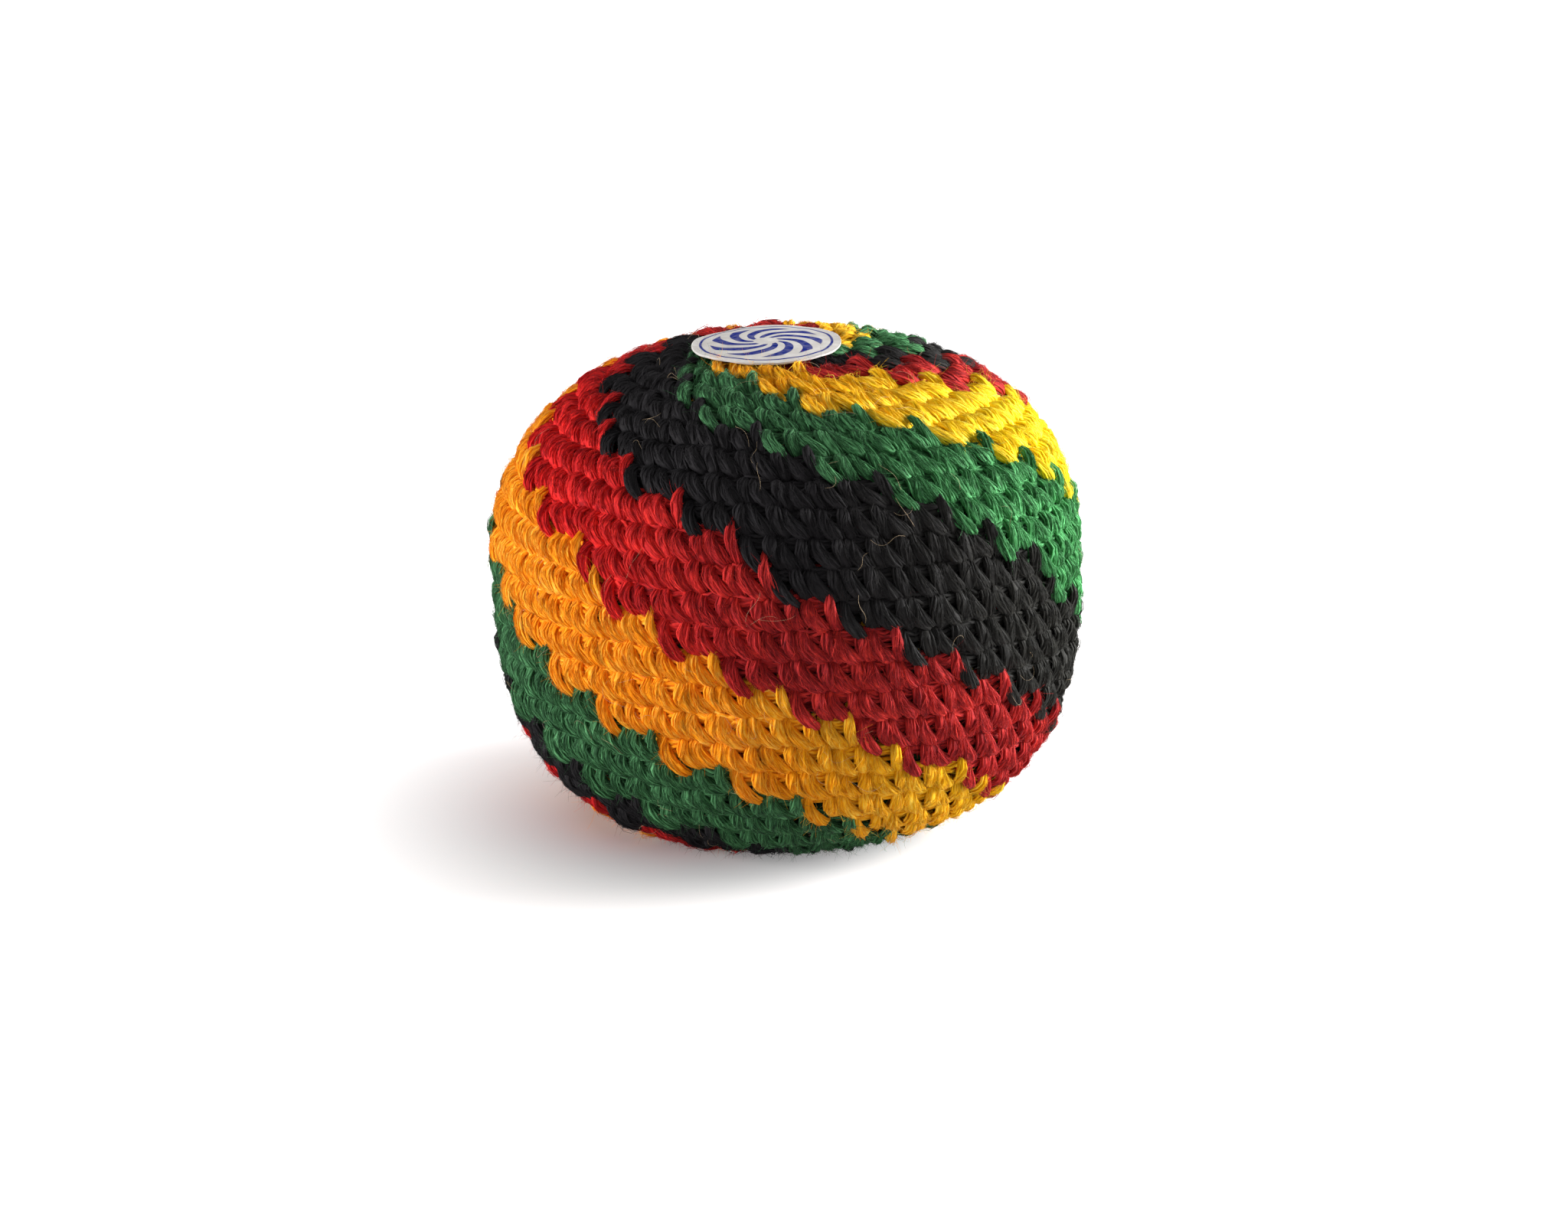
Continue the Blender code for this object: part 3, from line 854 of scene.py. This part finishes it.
class Nodes:
    """Short ways to add shader nodes to one material."""

    def __init__(self, tree):
        self.tree = tree

    def add(self, kind, inputs=(), **settings):
        node = self.tree.nodes.new("ShaderNode" + kind)
        for key, value in settings.items():
            setattr(node, key, value)
        for key, value in dict(inputs).items():
            if isinstance(value, bpy.types.NodeSocket):
                self.tree.links.new(value, node.inputs[key])
            else:
                node.inputs[key].default_value = value
        return node

    def math(self, operation, *values):
        return self.add("Math", enumerate(values), operation=operation).outputs[0]

    def mix(self, share, first, second):
        node = self.add("Mix", data_type="RGBA")
        factor, one, other = node.inputs[0], node.inputs[6], node.inputs[7]
        for socket, value in ((factor, share), (one, first), (other, second)):
            if isinstance(value, bpy.types.NodeSocket):
                self.tree.links.new(value, socket)
            elif socket == factor:
                socket.default_value = value
            else:
                socket.default_value = (*value, 1)
        return node.outputs[2]

    def ramp(self, value, start, end, low=0.0, high=1.0):
        node = self.add("MapRange", {"Value": value})
        for key, number in (("From Min", start), ("From Max", end), ("To Min", low), ("To Max", high)):
            node.inputs[key].default_value = number
        return node.outputs["Result"]

    def noise(self, vector, scale, detail=2.0, roughness=0.5):
        inputs = {"Vector": vector, "Scale": scale, "Detail": detail, "Roughness": roughness}
        return self.add("TexNoise", inputs).outputs["Fac"]

    def seen(self):
        """1 where the surface is looked at, straight or by reflection, and 0 where it lights others."""
        path = self.add("LightPath").outputs
        shiny = self.math("MAXIMUM", path["Is Glossy Ray"], path["Is Transmission Ray"])
        return self.math("MAXIMUM", path["Is Camera Ray"], shiny)

    def link(self, socket, target):
        self.tree.links.new(socket, target)


def yarn_material(name, colours, sheen, painted_light=None):
    """Twisted yarn: fine fibres along each strand, lighter and darker strands, a soft sheen, and any painted
    light across the ball.
    """
    material, tree, shader = new_material(name)
    nodes = Nodes(tree)
    grain = nodes.add("Attribute", attribute_name="grain").outputs["Vector"]
    dye = nodes.add("Attribute", attribute_name="dye").outputs["Fac"]
    fine = nodes.add("Mapping", {"Vector": grain, "Scale": (1.3, 2.6, 2.6)}).outputs["Vector"]
    fibres = nodes.noise(fine, 1.0, detail=3.0, roughness=0.6)
    coarse = nodes.add("Mapping", {"Vector": grain, "Scale": (0.6, 0.5, 0.5)}).outputs["Vector"]
    strands = nodes.noise(coarse, 1.0, detail=1.0)
    shadow, middle, light = colours
    # Painted light and shade: the colours shift with the place on the ball, as the light falls on it, not as
    # the yarn is dyed
    if painted_light:
        far_painted_colours, way, shares = painted_light
        place = nodes.add("TexCoord").outputs["Object"]
        away = nodes.add("VectorMath", {0: place, 1: WIDEST_CENTRE}, operation="SUBTRACT")
        gone = nodes.add("VectorMath", {0: away.outputs[0], 1: way}, operation="DOT_PRODUCT")
        side = nodes.ramp(gone.outputs["Value"], *(share * BALL_RADIUS for share in shares))
        shadow, middle, light = (nodes.mix(side, near, far) for near, far in zip(colours, far_painted_colours))
    fibre_tone = nodes.ramp(fibres, 0.3, 0.7, -0.4, 0.4)
    strand_tone = nodes.ramp(strands, 0.3, 0.7, -0.35, 0.35)
    tone = nodes.math("ADD", fibre_tone, strand_tone)
    tone = nodes.math("ADD", tone, nodes.math("MULTIPLY_ADD", dye, 0.3, -0.15))
    colour = nodes.mix(nodes.ramp(tone, 0.0, -0.6), middle, shadow)
    colour = nodes.mix(nodes.ramp(tone, 0.0, 0.6), colour, light)
    nodes.link(colour, shader.inputs["Base Color"])
    bump = nodes.add("Bump", {"Height": fibres, "Strength": 0.6, "Distance": 0.06 * MM})
    nodes.link(bump.outputs["Normal"], shader.inputs["Normal"])
    shader.inputs["Roughness"].default_value = 0.7
    shader.inputs["Specular IOR Level"].default_value = 0.1
    shader.inputs["Sheen Weight"].default_value = sheen
    shader.inputs["Sheen Roughness"].default_value = 0.35
    return material


def stray_material():
    material, _, shader = new_material("stray_hair")
    shader.inputs["Base Color"].default_value = (0.62, 0.45, 0.27, 1)
    shader.inputs["Roughness"].default_value = 0.45
    return material


def label_material():
    """Dull paper with a plain blue pinwheel inside a thin blue ring."""
    material, tree, shader = new_material("label_paper")
    nodes = Nodes(tree)
    disc = nodes.add("Attribute", attribute_name="disc").outputs["Vector"]
    split = nodes.add("SeparateXYZ", {"Vector": disc})
    across, back, side = (split.outputs[axis] for axis in "XYZ")
    distance = nodes.math("SQRT", nodes.math("ADD", nodes.math("MULTIPLY", across, across),
                                             nodes.math("MULTIPLY", back, back)))
    angle = nodes.math("ARCTAN2", back, across)
    twist = nodes.math("ADD", angle, nodes.math("MULTIPLY", distance, LABEL_TWIST))
    wave = nodes.math("SINE", nodes.math("MULTIPLY", twist, LABEL_BLADES))
    blade = nodes.ramp(wave, -0.12, 0.05)
    start = nodes.ramp(distance, LABEL_HUB_SHARES[0], LABEL_HUB_SHARES[0] + 0.02)
    stop = nodes.ramp(distance, LABEL_HUB_SHARES[1], LABEL_HUB_SHARES[1] + 0.02, 1, 0)
    pinwheel = nodes.math("MULTIPLY", blade, nodes.math("MULTIPLY", start, stop))
    off_ring = nodes.math("ABSOLUTE", nodes.math("SUBTRACT", distance, LABEL_RING_SHARE))
    ring = nodes.ramp(off_ring, 0.012, 0.024, 1, 0)
    print_share = nodes.math("MAXIMUM", pinwheel, ring)
    print_share = nodes.math("MULTIPLY", print_share, nodes.ramp(side, 0.9, 1.0))
    blotches = nodes.noise(disc, 9.0, detail=3.0)
    print_share = nodes.math("MULTIPLY", print_share, nodes.ramp(blotches, 0.3, 0.6, 0.82, 1.0))
    fibres = nodes.noise(disc, 60.0, detail=2.0)
    paper = nodes.mix(nodes.ramp(blotches, 0.3, 0.7), (0.53, 0.50, 0.47), (0.62, 0.60, 0.58))
    nodes.link(nodes.mix(print_share, paper, (0.011, 0.022, 0.19)), shader.inputs["Base Color"])
    shader.inputs["Specular IOR Level"].default_value = 0.02
    bump = nodes.add("Bump", {"Height": fibres, "Strength": 0.3, "Distance": 0.02 * MM})
    nodes.link(bump.outputs["Normal"], shader.inputs["Normal"])
    nodes.link(nodes.ramp(blotches, 0.3, 0.7, 0.78, 0.92), shader.inputs["Roughness"])
    return material


def pellet_material():
    """Dull off-white plastic, a little unlike from pellet to pellet."""
    material, tree, shader = new_material("pellet_plastic")
    nodes = Nodes(tree)
    place = nodes.add("TexCoord").outputs["Object"]
    patches = nodes.noise(place, 250.0)
    grain = nodes.noise(place, 4000.0)
    colour = nodes.mix(nodes.ramp(patches, 0.35, 0.65), (0.50, 0.49, 0.46), (0.70, 0.70, 0.68))
    nodes.link(colour, shader.inputs["Base Color"])
    nodes.link(nodes.ramp(grain, 0.3, 0.7, 0.35, 0.55), shader.inputs["Roughness"])
    return material


def floor_material():
    """Pale and plain, seen as white away from the ball, with a painted shadow round the ball where its seen
    glow is dimmer.
    """
    material, tree, shader = new_material("floor")
    nodes = Nodes(tree)
    shader.inputs["Base Color"].default_value = (0.56, 0.54, 0.54, 1)
    shader.inputs["Roughness"].default_value = 0.9
    shader.inputs["Specular IOR Level"].default_value = 0.1
    shader.inputs["Emission Color"].default_value = (1, 1, 1, 1)
    place = nodes.add("TexCoord").outputs["Object"]
    # Painted shadow: the glow seen straight and in reflections falls off towards the ball
    distance = nodes.add("VectorMath", {0: place, 1: PAINTED_SHADOW_CENTRE}, operation="DISTANCE").outputs["Value"]
    painted_shadow_glow = nodes.ramp(distance, *FLOOR_GLOW_REACH, *FLOOR_GLOW)
    nodes.link(nodes.math("MULTIPLY", nodes.seen(), painted_shadow_glow), shader.inputs["Emission Strength"])
    return material


def make_stage():
    """The floor, the lamps, the world and the camera."""
    mesh = bpy.data.meshes.new("floor")
    reach = FLOOR_REACH
    corners = [(-reach, -reach, 0), (reach, -reach, 0), (reach, reach, 0), (-reach, reach, 0)]
    mesh.from_pydata(corners, [], [(0, 1, 2, 3)])
    floor = bpy.data.objects.new("floor", mesh)
    bpy.context.scene.collection.objects.link(floor)
    mesh.materials.append(floor_material())

    target = Vector(WIDEST_CENTRE)
    for name, azimuth, elevation, distance, size, power in LAMPS:
        light = bpy.data.lights.new(name, "AREA")
        light.shape = "DISK"
        light.size = size
        light.energy = power
        lamp = bpy.data.objects.new(name, light)
        bpy.context.scene.collection.objects.link(lamp)
        a, e = math.radians(azimuth), math.radians(elevation)
        back = Vector((math.sin(a) * math.cos(e), -math.cos(a) * math.cos(e), math.sin(e)))
        lamp.location = target + back * distance
        lamp.rotation_mode = "QUATERNION"
        lamp.rotation_quaternion = back.to_track_quat("Z", "Y")

    world = bpy.data.worlds.new("studio")
    bpy.context.scene.world = world
    world.use_nodes = True
    background = world.node_tree.nodes["Background"]
    background.inputs["Color"].default_value = (1, 1, 1, 1)
    nodes = Nodes(world.node_tree)
    nodes.link(nodes.ramp(nodes.seen(), 0, 1, WORLD_LIGHT, 1.0), background.inputs["Strength"])

    data = bpy.data.cameras.new("camera")
    data.sensor_width = CAMERA_SENSOR
    data.lens = CAMERA_LENS
    data.shift_x, data.shift_y = CAMERA_SHIFT
    data.clip_start, data.clip_end = CAMERA_CLIP
    camera = bpy.data.objects.new("camera", data)
    bpy.context.scene.collection.objects.link(camera)
    back = Vector((0, -math.cos(CAMERA_ELEVATION), math.sin(CAMERA_ELEVATION)))
    camera.location = target + back * CAMERA_DISTANCE
    camera.rotation_mode = "QUATERNION"
    camera.rotation_quaternion = back.to_track_quat("Z", "Y")
    bpy.context.scene.camera = camera


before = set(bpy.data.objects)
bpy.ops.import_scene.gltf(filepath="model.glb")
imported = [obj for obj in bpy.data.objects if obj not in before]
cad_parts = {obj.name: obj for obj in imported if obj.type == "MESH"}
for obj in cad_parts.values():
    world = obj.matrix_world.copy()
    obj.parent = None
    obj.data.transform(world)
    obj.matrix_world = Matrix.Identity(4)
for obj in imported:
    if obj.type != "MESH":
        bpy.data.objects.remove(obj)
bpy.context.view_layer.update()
bpy.context.scene.view_settings.view_transform = "Standard"
make_stage()
stitches = Stitches(np.random.default_rng(7))
print(stitches.count, "stitches")
parts = yarn_parts(stitches, np.random.default_rng(11))
yarns = {}
for name in YARNS:
    colours, sheen = COLOURS[name]
    yarns[name] = yarn_material(name + "_yarn", colours, sheen, PAINTED_LIGHT_DRIFTS.get(name))
make_fuzz(stitches, parts, yarns)
parts["fibres"] = laid_fibres(stitches, parts, np.random.default_rng(13))
make_yarns(stitches, parts, yarns)
make_carried(stitches, yarns)
make_strays(stray_material())
make_label(label_material())
make_pellets(pellet_material())
